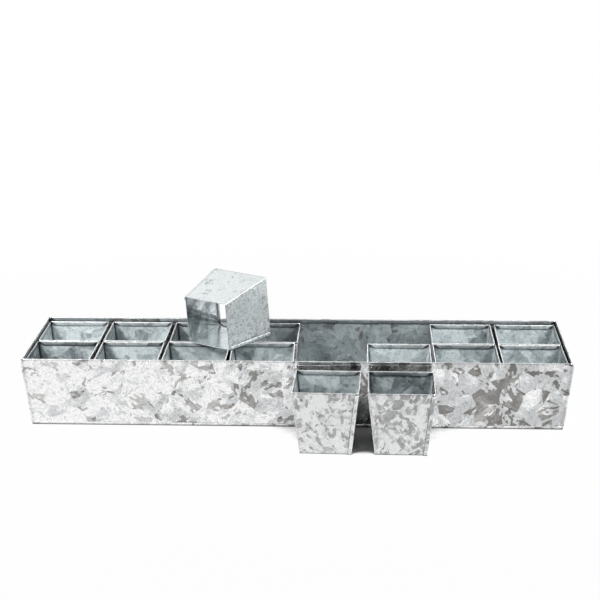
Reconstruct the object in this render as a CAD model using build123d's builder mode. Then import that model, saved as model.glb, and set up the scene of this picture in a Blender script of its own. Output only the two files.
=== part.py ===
from build123d import *
from dataclasses import dataclass
from math import atan, cos, degrees, hypot, radians, sin
import os

os.makedirs("parts", exist_ok=True)

# Pots: square sleeves of sheet, open at both ends and wider at the rim
pot_rim_width = 90.0
pot_foot_width = 70.0
pot_height = 90.0
pot_sheet = 0.45
pot_hem_depth = 6.5
pot_hem_gap = 0.6
pot_seam_width = 5.0
pot_seam_drop = 3.0

# Trough: a long box of sheet, wider at the rim, with a raised floor
trough_height = 100.0
trough_lean = 10.0
trough_sheet = 0.6
trough_hem_depth = 6.5
trough_hem_gap = 0.8
trough_seam_width = 6.0
trough_seam_drop = 3.0
floor_height = 4.8
floor_sheet = 0.6
band_height = 4.6
underside_flat = 0.15

# Places of the pots
columns = 8
pot_gap = 4.6
standing_left_x = 45.0
standing_gap = 10.0
standing_left_distance = 7.0
standing_right_distance = 8.4
standing_left_turn = -1.7
standing_right_turn = -0.4
lying_foot_x = -31.2
lying_foot_y = -20.0
lying_turn = 30.3

# Clearances
seam_gap = 0.05
rim_clearance = 1.5
turn_clearance_share = 0.7
lying_clearance = 0.3


@dataclass
class Bending:
    """How a kind of wall leans and how its sheet is folded."""

    height: float
    lean: float
    sheet: float
    hem_depth: float
    hem_gap: float
    seam_width: float
    seam_drop: float

    @property
    def slope(self):
        """Outward lean for each millimetre of height."""
        return self.lean / self.height

    @property
    def slant(self):
        """Length along the wall for each millimetre of height."""
        return hypot(1, self.slope)

    @property
    def level_sheet(self):
        """Thickness of the leaning sheet, measured level."""
        return self.sheet * self.slant

    @property
    def layer(self):
        """Level distance from one layer of a folded seam to the next."""
        return self.level_sheet + seam_gap

    @property
    def seam_stack(self):
        """How far a folded seam stands out from the wall that it lies on."""
        return 3 * self.layer

    @property
    def setback(self):
        """Distance from a seamed corner at which the flat walls end."""
        return 2.5 * self.level_sheet + 2 * seam_gap

    @property
    def hem_thickness(self):
        """Level thickness of the folded rim."""
        return (2 * self.sheet + self.hem_gap) * self.slant


pot = Bending(
    height=pot_height,
    lean=(pot_rim_width - pot_foot_width) / 2,
    sheet=pot_sheet,
    hem_depth=pot_hem_depth,
    hem_gap=pot_hem_gap,
    seam_width=pot_seam_width,
    seam_drop=pot_seam_drop,
)
trough = Bending(
    height=trough_height,
    lean=trough_lean,
    sheet=trough_sheet,
    hem_depth=trough_hem_depth,
    hem_gap=trough_hem_gap,
    seam_width=trough_seam_width,
    seam_drop=trough_seam_drop,
)

# Grid of the pots in the trough
column_pitch = pot_rim_width + pot_gap
row_gap = pot.seam_stack + rim_clearance
row_y = (pot_rim_width + row_gap) / 2
pot_rim_height = floor_height + pot_height


def trough_half(pots_half):
    """Half size of the trough's outer face at the foot, clear of the pots at their rims and at their feet."""
    by_rims = pots_half + trough.hem_thickness - trough.slope * pot_rim_height
    by_feet = pots_half - pot.lean + trough.level_sheet - trough.slope * floor_height
    return max(by_rims, by_feet) + rim_clearance


# Half sizes of the outer faces, at the level of the foot
pot_foot_half = (pot_foot_width / 2, pot_foot_width / 2)
trough_foot_half = (
    trough_half((columns * pot_rim_width + (columns - 1) * pot_gap) / 2),
    trough_half(row_y + pot_rim_width / 2 + pot.seam_stack),
)

# Channel under the trough's walls: the floor sheet goes down inside them and up round them outside
channel_radius = (trough_sheet + floor_sheet) / 2 + seam_gap
channel_centre_z = channel_radius + floor_sheet / 2 - underside_flat
trough_wall_foot_z = channel_centre_z + seam_gap
trough_seam_foot_z = floor_height

FRONT = Vector(0, -1, 0)
BACK = Vector(0, 1, 0)
LEFT = Vector(-1, 0, 0)
RIGHT = Vector(1, 0, 0)
UP = Vector(0, 0, 1)


def half_along(half_size, direction):
    """Half of the foot's size along a level direction."""
    return abs(direction.X) * half_size[0] + abs(direction.Y) * half_size[1]


def corner_at(bending, half_size, facing, toward, z):
    """Point on the outer corner edge between two walls, at a height."""
    reach = bending.slope * z
    return (
        facing * (half_along(half_size, facing) + reach)
        + toward * (half_along(half_size, toward) + reach)
        + UP * z
    )


def mitre(bending, half_size, facing, toward, gap=0.0):
    """Upright plane through a corner edge, which keeps the wall that has this facing."""
    corner = corner_at(bending, half_size, facing, toward, 0)
    return Plane(corner - toward * gap, x_dir=UP, z_dir=facing - toward)


def setback_cut(bending, half_size, facing, toward):
    """Plane along a seamed corner edge, where the flat wall ends and its fold begins."""
    corner = corner_at(bending, half_size, facing, toward, 0)
    return Plane(
        corner - toward * bending.setback,
        x_dir=facing,
        z_dir=UP * bending.slope - toward,
    )


def section_plane(facing):
    """Upright plane across a wall, with x pointing out of the wall and y up."""
    return Plane((0, 0, 0), x_dir=facing, z_dir=facing.cross(UP))


def hem_cut(bending, half_size, facing, toward):
    """Slanting plane across a wall, which bevels the end of its folded rim at 45 degrees."""
    corner = corner_at(bending, half_size, facing, toward, bending.height)
    up_wall = (facing * bending.slope + UP) / bending.slant
    return Plane(corner - toward * bending.hem_thickness, x_dir=facing, z_dir=up_wall - toward)


def leaning_wall(bending, half_size, facing, foot_z, cuts):
    """Flat wall that leans outwards, with its top edge folded inwards and the fold's ends bevelled."""
    reach = half_along(half_size, facing)
    half_length = sum(half_size) - reach + 2 * bending.lean
    fold_radius = (bending.sheet + bending.hem_gap) / 2
    fold_reach = fold_radius + bending.sheet / 2
    up_wall = Vector(bending.slope, 1) / bending.slant
    inward = Vector(-1, bending.slope) / bending.slant
    foot = Vector(reach, 0) + inward * (bending.sheet / 2)
    fold_height = bending.height - fold_reach * (1 + bending.slope / bending.slant)
    fold_start = foot + up_wall * (fold_height * bending.slant)
    fold_end = fold_start + inward * (2 * fold_radius)
    with BuildPart() as hem:
        with BuildSketch(section_plane(facing)):
            with BuildLine():
                Line(fold_end, fold_end - up_wall * (bending.hem_depth - fold_reach))
            trace(line_width=bending.sheet)
        extrude(amount=half_length, both=True)
        for toward in (facing.cross(UP), UP.cross(facing)):
            split(bisect_by=hem_cut(bending, half_size, facing, toward), keep=Keep.TOP)
    with BuildPart() as wall:
        with BuildSketch(section_plane(facing)):
            with BuildLine():
                upright = Line(foot - up_wall * bending.sheet, fold_start)
                JernArc(start=upright @ 1, tangent=up_wall, radius=fold_radius, arc_size=180)
            trace(line_width=bending.sheet)
        extrude(amount=half_length, both=True)
        split(bisect_by=Plane.XY.offset(foot_z), keep=Keep.TOP)
        for cut in cuts:
            split(bisect_by=cut, keep=Keep.TOP)
        add(hem.part)
    return wall.part


def seam_plane(bending, half_size, facing, toward, z):
    """Level plane at a corner: x runs along the hooked wall to the corner, y out of it."""
    corner = corner_at(bending, half_size, facing, toward, z)
    return Plane(corner, x_dir=toward, z_dir=toward.cross(facing))


def extrude_seam(bending, facing, toward, foot_z):
    """Carry a level section of a seam up along the leaning corner."""
    edge = (facing + toward) * bending.slope + UP
    rise = bending.height - bending.seam_drop - foot_z
    extrude(amount=rise * edge.length, dir=edge)


def seam_hook(bending, half_size, facing, toward, foot_z):
    """Edge of the wall that carries the seam, folded back outwards."""
    sheet = bending.level_sheet
    turn_back = bending.layer + sheet / 2 - bending.seam_width
    with BuildPart() as hook:
        with BuildSketch(seam_plane(bending, half_size, facing, toward, foot_z)):
            with BuildLine():
                fold = JernArc(
                    start=(-bending.setback, -sheet / 2),
                    tangent=(1, 0),
                    radius=bending.layer,
                    arc_size=180,
                )
                Line(fold @ 1, (turn_back, (fold @ 1).Y))
            trace(line_width=sheet)
        extrude_seam(bending, facing, toward, foot_z)
    return hook.part


def seam_wrap(bending, half_size, facing, toward, foot_z):
    """Edge of the neighbouring wall, bent round the corner and tucked under the hook."""
    sheet = bending.level_sheet
    turn_back = bending.layer + sheet / 2 - bending.seam_width
    outer_layer = bending.seam_stack - sheet / 2
    with BuildPart() as wrap:
        with BuildSketch(seam_plane(bending, half_size, facing, toward, foot_z)):
            with BuildLine():
                side = Line((-sheet / 2, -bending.setback), (-sheet / 2, outer_layer - sheet))
                bend = JernArc(start=side @ 1, tangent=(0, 1), radius=sheet, arc_size=90)
                strip = Line(bend @ 1, (turn_back, outer_layer))
                fold = JernArc(
                    start=strip @ 1, tangent=(-1, 0), radius=bending.layer, arc_size=180
                )
                Line(fold @ 1, (-bending.setback, (fold @ 1).Y))
            trace(line_width=sheet)
        extrude_seam(bending, facing, toward, foot_z)
    return wrap.part


# One sheet of a pot: front and left wall, with a plain fold between them and a seam at either end
pot_front_wall = leaning_wall(
    pot,
    pot_foot_half,
    FRONT,
    0,
    [
        mitre(pot, pot_foot_half, FRONT, LEFT),
        mitre(pot, pot_foot_half, FRONT, RIGHT, seam_gap),
        setback_cut(pot, pot_foot_half, FRONT, RIGHT),
    ],
)
pot_left_wall = leaning_wall(
    pot,
    pot_foot_half,
    LEFT,
    0,
    [
        mitre(pot, pot_foot_half, LEFT, FRONT),
        mitre(pot, pot_foot_half, LEFT, BACK, seam_gap),
        setback_cut(pot, pot_foot_half, LEFT, BACK),
    ],
)
pot_hook = seam_hook(pot, pot_foot_half, FRONT, RIGHT, 0)
pot_wrap = seam_wrap(pot, pot_foot_half, BACK, LEFT, 0)
with BuildPart() as pot_sheet_bent:
    add(pot_front_wall)
    add(pot_left_wall)
    add(pot_hook)
    add(pot_wrap)

# Pots in the trough: row, column, slide as a share of the gap, turn as a share of the largest turn
pots_in_trough = [
    ("back", 1, -0.10, 0.30),
    ("back", 2, 0.00, -0.20),
    ("back", 3, 0.20, 0.20),
    ("back", 4, 0.40, -0.30),
    ("back", 7, 0.00, 0.20),
    ("back", 8, 0.00, -0.25),
    ("front", 1, -0.15, -0.30),
    ("front", 2, 0.00, 0.35),
    ("front", 3, 0.00, -0.20),
    ("front", 4, -0.15, 1.00),
    ("front", 6, 0.35, -0.30),
    ("front", 7, 0.20, 0.25),
    ("front", 8, -0.10, 0.30),
]
largest_turn = degrees(turn_clearance_share * rim_clearance / (pot_rim_width / 2))
row_of = {"back": row_y, "front": -row_y}


def turned_plane(x, y, z, turn):
    """Level plane at a point, turned about the upright axis."""
    return Plane((x, y, z), x_dir=(cos(radians(turn)), sin(radians(turn)), 0), z_dir=UP)


pot_planes = {}
for row, column, slide, turn in pots_in_trough:
    column_x = (column - (columns + 1) / 2) * column_pitch
    pot_planes[f"{row}_{column}"] = turned_plane(
        column_x + slide * pot_gap, row_of[row], floor_height, turn * largest_turn
    )

# Two pots that stand on the floor in front of the trough
standing_y = -(trough_foot_half[1] + trough.lean + pot_rim_width / 2)
standing_right_x = standing_left_x + pot_rim_width + standing_gap
pot_planes["standing_left"] = turned_plane(
    standing_left_x, standing_y - standing_left_distance, 0, standing_left_turn
)
pot_planes["standing_right"] = turned_plane(
    standing_right_x, standing_y - standing_right_distance, 0, standing_right_turn
)

# One pot that lies on its right wall across the rims of four others, its foot towards the front
lying_tilt = atan(pot.slope)
lying_way = Vector(sin(radians(lying_turn)), cos(radians(lying_turn)), 0)
lying_axis = lying_way * cos(lying_tilt) + UP * sin(lying_tilt)
lying_down = lying_way * sin(lying_tilt) - UP * cos(lying_tilt)
lying_edge = Vector(lying_foot_x - column_pitch, lying_foot_y, pot_rim_height + lying_clearance)
pot_planes["lying"] = Plane(
    lying_edge - lying_down * (pot_foot_width / 2), x_dir=lying_down, z_dir=lying_axis
)

for pot_name, pot_plane in pot_planes.items():
    for sheet_name, half_turn in (("front", 0), ("rear", 180)):
        with BuildPart(pot_plane) as placed_sheet:
            add(pot_sheet_bent.part, rotation=(0, 0, half_turn))
        placed_sheet.part.label = f"pot_{pot_name}_{sheet_name}_sheet"
        export_step(placed_sheet.part, f"parts/{placed_sheet.part.label}.step")


def trough_wall_cuts(facing):
    """Both ends of a trough wall: mitred rim, and flat wall ended where the seam begins."""
    cuts = []
    for toward in (facing.cross(UP), UP.cross(facing)):
        cuts.append(mitre(trough, trough_foot_half, facing, toward, seam_gap))
        cuts.append(setback_cut(trough, trough_foot_half, facing, toward))
    return cuts


# Long walls: their ends wrap round the corners onto the end walls
for wall_name, facing in (("trough_front_wall", FRONT), ("trough_back_wall", BACK)):
    flat_wall = leaning_wall(
        trough, trough_foot_half, facing, trough_wall_foot_z, trough_wall_cuts(facing)
    )
    wraps = [
        seam_wrap(trough, trough_foot_half, end, facing, trough_seam_foot_z)
        for end in (LEFT, RIGHT)
    ]
    with BuildPart() as long_wall:
        add(flat_wall)
        add(wraps)
    long_wall.part.label = wall_name
    export_step(long_wall.part, f"parts/{wall_name}.step")

# End walls: a hook along each upright edge holds the long walls' wraps
for wall_name, facing in (("trough_left_end", LEFT), ("trough_right_end", RIGHT)):
    flat_wall = leaning_wall(
        trough, trough_foot_half, facing, trough_wall_foot_z, trough_wall_cuts(facing)
    )
    hooks = [
        seam_hook(trough, trough_foot_half, facing, side, trough_seam_foot_z)
        for side in (FRONT, BACK)
    ]
    with BuildPart() as end_wall:
        add(flat_wall)
        add(hooks)
    end_wall.part.label = wall_name
    export_step(end_wall.part, f"parts/{wall_name}.step")


# Floor sheet of the trough, with the channel that holds the walls' lower edges
flange_depth = trough_sheet + seam_gap + floor_sheet / 2
floor_middle_z = floor_height - floor_sheet / 2


def flange_reach(facing, z):
    """Distance from the centre to the middle of the flange inside a wall, at a height."""
    return half_along(trough_foot_half, facing) + trough.slope * z - flange_depth * trough.slant


def floor_edge(facing):
    """Distance from the centre to where the flat floor ends and its flange begins."""
    return flange_reach(facing, floor_middle_z) - 3 * floor_sheet


def base_channel(facing):
    """One side of the channel, mitred at both ends."""
    up_wall = Vector(trough.slope, 1) / trough.slant
    turn_z = channel_centre_z + channel_radius * trough.slope / trough.slant
    half_length = sum(trough_foot_half) - half_along(trough_foot_half, facing) + trough.lean
    with BuildPart() as channel:
        with BuildSketch(section_plane(facing)):
            with BuildLine():
                flange = FilletPolyline(
                    (floor_edge(facing), floor_middle_z),
                    (flange_reach(facing, floor_middle_z), floor_middle_z),
                    (flange_reach(facing, turn_z), turn_z),
                    radius=floor_sheet,
                )
                fold = JernArc(
                    start=flange @ 1, tangent=-up_wall, radius=channel_radius, arc_size=180
                )
                Line(fold @ 1, (fold @ 1) + up_wall * ((band_height - (fold @ 1).Y) * trough.slant))
            trace(line_width=floor_sheet)
        extrude(amount=half_length, both=True)
        split(bisect_by=Plane.XY, keep=Keep.TOP)
        for toward in (facing.cross(UP), UP.cross(facing)):
            split(bisect_by=mitre(trough, trough_foot_half, facing, toward), keep=Keep.TOP)
    return channel.part


channels = [base_channel(facing) for facing in (FRONT, BACK, LEFT, RIGHT)]
with BuildPart() as trough_base:
    with BuildSketch(Plane.XY.offset(floor_height - floor_sheet)):
        Rectangle(2 * floor_edge(RIGHT), 2 * floor_edge(BACK))
    extrude(amount=floor_sheet)
    add(channels)
trough_base.part.label = "trough_base"
export_step(trough_base.part, "parts/trough_base.step")
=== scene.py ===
from dataclasses import dataclass
from math import cos, hypot, pi, radians, sin
from random import Random

import bpy
from mathutils import Matrix, Vector


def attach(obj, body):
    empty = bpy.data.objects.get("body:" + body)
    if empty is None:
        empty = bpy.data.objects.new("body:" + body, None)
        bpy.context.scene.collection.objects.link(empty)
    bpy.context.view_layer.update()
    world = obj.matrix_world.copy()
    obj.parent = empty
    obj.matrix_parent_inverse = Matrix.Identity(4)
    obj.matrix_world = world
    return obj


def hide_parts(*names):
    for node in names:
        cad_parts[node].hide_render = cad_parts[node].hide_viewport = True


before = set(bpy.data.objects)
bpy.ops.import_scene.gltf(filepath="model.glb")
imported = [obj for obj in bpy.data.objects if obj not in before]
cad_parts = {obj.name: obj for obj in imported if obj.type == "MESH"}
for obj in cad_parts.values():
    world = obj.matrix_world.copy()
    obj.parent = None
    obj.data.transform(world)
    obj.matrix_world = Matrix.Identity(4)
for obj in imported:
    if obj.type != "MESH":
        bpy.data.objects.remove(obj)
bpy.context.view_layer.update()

MM = 0.001
FRONT = Vector((0, -1, 0))
BACK = Vector((0, 1, 0))
LEFT = Vector((-1, 0, 0))
RIGHT = Vector((1, 0, 0))
UP = Vector((0, 0, 1))

# Sizes of the pots and the trough, in millimetres
POT_RIM_WIDTH = 90.0
POT_FOOT_WIDTH = 70.0
TROUGH_FOOT_LENGTH = 740.274
TROUGH_FOOT_WIDTH = 174.048
FLOOR_HEIGHT = 4.8
FLOOR_SHEET = 0.6
BAND_HEIGHT = 4.6
CHANNEL_Z = 0.85
COLUMNS = 8
POT_GAP = 4.6
RIM_CLEARANCE = 1.5
SEAM_GAP = 0.05
BEND_RADIUS = 0.9

# Steps of the meshes: counts round a fold and a bend, a share of a seam, and millimetres from an edge
FOLD_STEPS = 6
BEND_STEPS = 4
SEAM_MIDDLE = 0.6
SEAM_EDGE_STEPS = (-0.4, 0.3, 1.2, 4.0)
HEM_EDGE_STEPS = (-5.0, -1.4, -0.2, 1.2)
FOOT_STEP = 1.2
BAND_STEP = 0.9
FLOOR_EDGE_STEPS = ((-6.0, 0.0), (-0.9, 0.0), (-0.2, -0.2), (0.0, -0.9))
BAND_STEPS_DOWN = (2.0, 0.6)

# Ripples of a flat wall: how many, their strength, and their size in millimetres
RIPPLES = 5
RIPPLE_STRENGTHS = (0.4, 1.0)
RIPPLE_WIDTHS = (40, 140)
RIPPLE_HEIGHTS = (30, 90)
RIPPLE_FADE = 14.0
BULGE_START = 0.15

# Painted shade in the creases, from 0 to 1, and how far it reaches in millimetres
FOOT_SHADE = 0.9
RIM_SHADE = 0.45
CORNER_SHADE = 0.3
CORNER_REACH = 2.0
SEAM_SHADE = 0.6
SEAM_SHADE_OFFSET = 0.3
SEAM_SHADE_REACH = 1.0
SEAM_TOP_SHADE = 0.7
SEAM_TOP_REACH = 3.6
MITRE_REACH = 3.0
FLANGE_END_REACH = 3.0
FLANGE_TARNISH = 0.3

# Wear and painted highlight of the edges, from 0 to 1
LEAST_BRIGHT_WEAR_AND_HIGHLIGHT = 0.3
BEND_WEAR_AND_HIGHLIGHT = [0.6 + 0.4 * sin(pi * i / BEND_STEPS) for i in range(BEND_STEPS + 1)]
WRAP_BEND_WEAR_AND_HIGHLIGHT = [0, 0.4, 0.6, 0.4, 0]
WRAP_FOLD_WEAR_AND_HIGHLIGHT = [0, 0.3, 0.5, 0.3, 0, 0, 0]
BAND_WEAR_AND_HIGHLIGHT = 0.5


# Sheets of steel, in millimetres
@dataclass
class Bending:
    """How a kind of wall leans, how its sheet is folded and how uneven it is.

    Each flange mark is a share of its depth, its wear with painted highlight, and its painted shade.
    """

    height: float
    lean: float
    sheet: float
    hem_depth: float
    hem_gap: float
    seam_width: float
    seam_drop: float
    foot_z: float
    seam_foot_z: float
    column_step: float
    row_step: float
    bulge: float
    ripple: float
    rim_wear_and_highlight: float
    flange_marks: tuple
    half: tuple

    @property
    def slope(self):
        """Outward lean for each millimetre of height."""
        return self.lean / self.height

    @property
    def slant(self):
        """Length along the wall for each millimetre of height."""
        return hypot(1, self.slope)

    @property
    def level_sheet(self):
        """Thickness of the leaning sheet, measured level."""
        return self.sheet * self.slant

    @property
    def layer(self):
        """Level distance from one layer of a folded seam to the next."""
        return self.level_sheet + SEAM_GAP

    @property
    def seam_stack(self):
        """How far a folded seam stands out from the wall that it lies on."""
        return 3 * self.layer

    @property
    def seam_top_z(self):
        """Height at which a folded seam ends, below the rim."""
        return self.height - self.seam_drop

    @property
    def setback(self):
        """Distance from a seamed corner at which the flat walls end."""
        return 2.5 * self.level_sheet + 2 * SEAM_GAP

    @property
    def hem_thickness(self):
        """Level thickness of the folded rim."""
        return (2 * self.sheet + self.hem_gap) * self.slant

    @property
    def fold_radius(self):
        """Radius of the rim's fold, at the middle of the sheet."""
        return (self.sheet + self.hem_gap) / 2

    @property
    def fold_z(self):
        """Height at which the rim's fold begins."""
        return self.height - (self.fold_radius + self.sheet / 2) * (1 + self.slope / self.slant)

    def reach(self, direction, z):
        """Distance from the middle to the outer face along a level direction, at a height."""
        return abs(direction.x) * self.half[0] + abs(direction.y) * self.half[1] + self.slope * z

    def wall_length(self, facing, z):
        """Outer length of the wall that faces a way, at a height."""
        return 2 * self.reach(UP.cross(facing), z)


POT = Bending(
    height=90.0, lean=(POT_RIM_WIDTH - POT_FOOT_WIDTH) / 2, sheet=0.45, hem_depth=6.5, hem_gap=0.6,
    seam_width=5.0, seam_drop=3.0, foot_z=0.0, seam_foot_z=0.0,
    column_step=6.0, row_step=8.0, bulge=0.55, ripple=0.12, rim_wear_and_highlight=1.0,
    flange_marks=(
        (0.15, 0.25, 0.3), (0.4, 0.0, 0.55), (0.7, 0.0, 0.68), (0.88, 0.0, 0.95), (1.0, 0.0, 1.0),
    ),
    half=(POT_FOOT_WIDTH / 2, POT_FOOT_WIDTH / 2),
)
TROUGH = Bending(
    height=100.0, lean=10.0, sheet=0.6, hem_depth=6.5, hem_gap=0.8,
    seam_width=6.0, seam_drop=3.0, foot_z=CHANNEL_Z + SEAM_GAP, seam_foot_z=FLOOR_HEIGHT,
    column_step=9.0, row_step=9.0, bulge=0.5, ripple=0.16, rim_wear_and_highlight=0.7,
    flange_marks=(
        (0.15, 0.1, 0.55), (0.4, 0.0, 0.62), (0.66, 0.0, 0.66), (0.8, 0.0, 0.9), (1.0, 0.0, 1.0),
    ),
    half=(TROUGH_FOOT_LENGTH / 2, TROUGH_FOOT_WIDTH / 2),
)
COLUMN_PITCH = POT_RIM_WIDTH + POT_GAP
ROW_Y = (POT_RIM_WIDTH + POT.seam_stack + RIM_CLEARANCE) / 2


def arc(centre, radius, start, end, steps):
    """Points along an arc, in the plane of a corner."""
    turns = [start + (end - start) * i / steps for i in range(steps + 1)]
    return [(centre[0] + radius * cos(t), centre[1] + radius * sin(t)) for t in turns]


def hook_path(bending):
    """Middle of the hooked edge: x along its wall to the corner, y out of the wall."""
    sheet = bending.level_sheet
    end = bending.layer + sheet / 2 - bending.seam_width
    centre = (-bending.setback, bending.layer - sheet / 2)
    fold = arc(centre, bending.layer, -pi / 2, pi / 2, FOLD_STEPS)
    return fold + [(end, fold[-1][1])]


def wrap_path(bending):
    """Middle of the wrapped edge, in the plane of the hook that it holds."""
    sheet = bending.level_sheet
    outer = bending.seam_stack - sheet / 2
    turn = bending.layer + sheet / 2 - bending.seam_width
    bend = arc((-1.5 * sheet, outer - sheet), sheet, 0, pi / 2, BEND_STEPS)
    fold = arc((turn, outer - bending.layer), bending.layer, pi / 2, 1.5 * pi, FOLD_STEPS)
    return [(-sheet / 2, -bending.setback)] + bend + fold + [(-bending.setback, fold[-1][1])]


def bend_path(bending):
    """Middle of a plain corner bend, from the wall that faces y to the one that faces x."""
    inset = -(BEND_RADIUS + bending.level_sheet / 2)
    return arc((inset, inset), BEND_RADIUS, pi / 2, 0, BEND_STEPS)


def corner(bending, facing, toward, z):
    """Level place of the outer corner between two walls, at a height."""
    return facing * bending.reach(facing, z) + toward * bending.reach(toward, z)


@dataclass
class Column:
    """One upright line of a sheet: its place at the foot and at the rim, and what it belongs to."""

    low: Vector
    high: Vector
    kind: str
    wear_and_highlight: float = 0.0
    facing: Vector = None
    share: float = 0.0

    def at(self, bending, z):
        """Place of the column at a height."""
        return self.low.lerp(self.high, z / bending.height) + UP * z


def path_columns(bending, kind, facing, toward, path, wears_and_highlights):
    """Columns that follow a corner edge, each with its wear and painted highlight."""
    columns = []
    for (x, y), wear_and_highlight in zip(path, wears_and_highlights):
        low, high = (
            corner(bending, facing, toward, z) + toward * x + facing * y for z in (0, bending.height)
        )
        columns.append(Column(low, high, kind, wear_and_highlight))
    return columns


def seam_columns(bending, kind, facing, toward):
    """Columns of a hooked or wrapped edge, from its wall to its free end."""
    if kind == "hook":
        path = hook_path(bending)
        return path_columns(bending, "seam", facing, toward, path, [0.0] * len(path))
    wears_and_highlights = [0.0] + WRAP_BEND_WEAR_AND_HIGHLIGHT + WRAP_FOLD_WEAR_AND_HIGHLIGHT + [0.0]
    return path_columns(bending, "seam", toward, facing, wrap_path(bending), wears_and_highlights)


def wall_shares(bending, length):
    """Where a flat wall's columns stand along it, closer together beside its ends."""
    edge = bending.seam_width - bending.setback
    near = [0, edge * SEAM_MIDDLE] + [edge + step for step in SEAM_EDGE_STEPS]
    steps = max(2, round((length - 2 * near[-1]) / bending.column_step))
    middle = [near[-1] + (length - 2 * near[-1]) * i / steps for i in range(1, steps)]
    far = [length - d for d in reversed(near)]
    return [d / length for d in near + middle + far]


def sheet_columns(bending, facings, start_kind, end_kind):
    """All columns of a sheet, from its first free edge round to its last."""
    blocks = [seam_columns(bending, start_kind, facings[0], -UP.cross(facings[0]))[::-1]]
    for facing, next_facing in zip(facings, facings[1:]):
        blocks.append(path_columns(bending, "bend", facing, next_facing, bend_path(bending), BEND_WEAR_AND_HIGHLIGHT))
    blocks.append(seam_columns(bending, end_kind, facings[-1], UP.cross(facings[-1])))

    columns = list(blocks[0])
    for facing, before, after in zip(facings, blocks, blocks[1:]):
        first, last = before[-1], after[0]
        flat = [
            Column(first.low.lerp(last.low, s), first.high.lerp(last.high, s), "flat", 0.0, facing, s)
            for s in wall_shares(bending, (last.low - first.low).length)
        ]
        flat[0].wear_and_highlight = first.wear_and_highlight
        flat[-1].wear_and_highlight = last.wear_and_highlight
        columns[-1:] = flat
        columns += after[1:]
    return columns


def wall_rows(bending):
    """Heights of the rows of a wall, closer together at the foot and under the rim."""
    hem_foot = bending.height - bending.hem_depth
    low = [bending.foot_z, bending.foot_z + FOOT_STEP]
    if bending.seam_foot_z > bending.foot_z:
        low = [bending.foot_z, bending.seam_foot_z, bending.seam_foot_z + BAND_STEP]
    high = [hem_foot + step for step in HEM_EDGE_STEPS] + [bending.seam_top_z, bending.fold_z]
    steps = max(2, round((high[0] - low[-1]) / bending.row_step))
    middle = [low[-1] + (high[0] - low[-1]) * i / steps for i in range(1, steps)]
    return low + middle + high


@dataclass
class HemRow:
    """One row of the folded rim: in from the wall, up along it, end inset, wear with painted highlight,
    painted shade.
    """

    inward: float
    rise: float
    inset: float
    wear_and_highlight: float
    shade: float


def hem_rows(bending):
    """Rows of the folded rim, over its fold and down its flange."""
    radius = bending.fold_radius
    rows = []
    for i in range(1, FOLD_STEPS + 1):
        turn = pi * i / FOLD_STEPS
        inward = radius * (1 - cos(turn))
        inset = max(bending.setback, bending.sheet / 2 + inward + SEAM_GAP)
        rows.append(HemRow(inward, radius * sin(turn), inset, bending.rim_wear_and_highlight * sin(turn) ** 2, 0.0))
    top = radius + bending.sheet / 2
    depth = bending.hem_depth - top
    for share, wear_and_highlight, shade in bending.flange_marks:
        down = depth * share
        rows.append(HemRow(2 * radius, -down, bending.hem_thickness + top + down, wear_and_highlight, shade))
    return rows


def smooth(value):
    """Soft step from 0 to 1."""
    value = min(1.0, max(0.0, value))
    return value * value * (3 - 2 * value)


def unevenness(bending, name):
    """How far a wall stands out at a place on it: a slight bulge and ripples, none beside the corners."""
    draw = Random(name)
    bulge = draw.uniform(-1, 1) * bending.bulge
    waves = []
    for _ in range(RIPPLES):
        strength = draw.uniform(*RIPPLE_STRENGTHS)
        width = draw.uniform(*RIPPLE_WIDTHS)
        height = draw.uniform(*RIPPLE_HEIGHTS)
        waves.append((strength, width, height, draw.uniform(0, 2 * pi)))

    def stand_out(along, length, z):
        room = min(along, length - along)
        fade = smooth((room - bending.seam_width) / RIPPLE_FADE)
        up = BULGE_START + (1 - BULGE_START) * z / bending.height
        panel = bulge * sin(pi * along / length) * sin(pi * up)
        ripple = sum(s * sin(2 * pi * (along / w + z / h) + start) for s, w, h, start in waves)
        return fade * (panel + bending.ripple * ripple / 2)

    return stand_out


@dataclass
class Surface:
    """Middle surface of a sheet: points, quads, each quad's places on the flat sheet, and marks.

    Inner says which quads show the inside of the sheet. The marks of a point are its wear with painted
    highlight, its painted shade on the inside and on the outside, and its tarnish, which on the lying
    pot is painted light and shade.
    """

    points: list
    quads: list
    places: list
    inner: list
    marks: list


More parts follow.
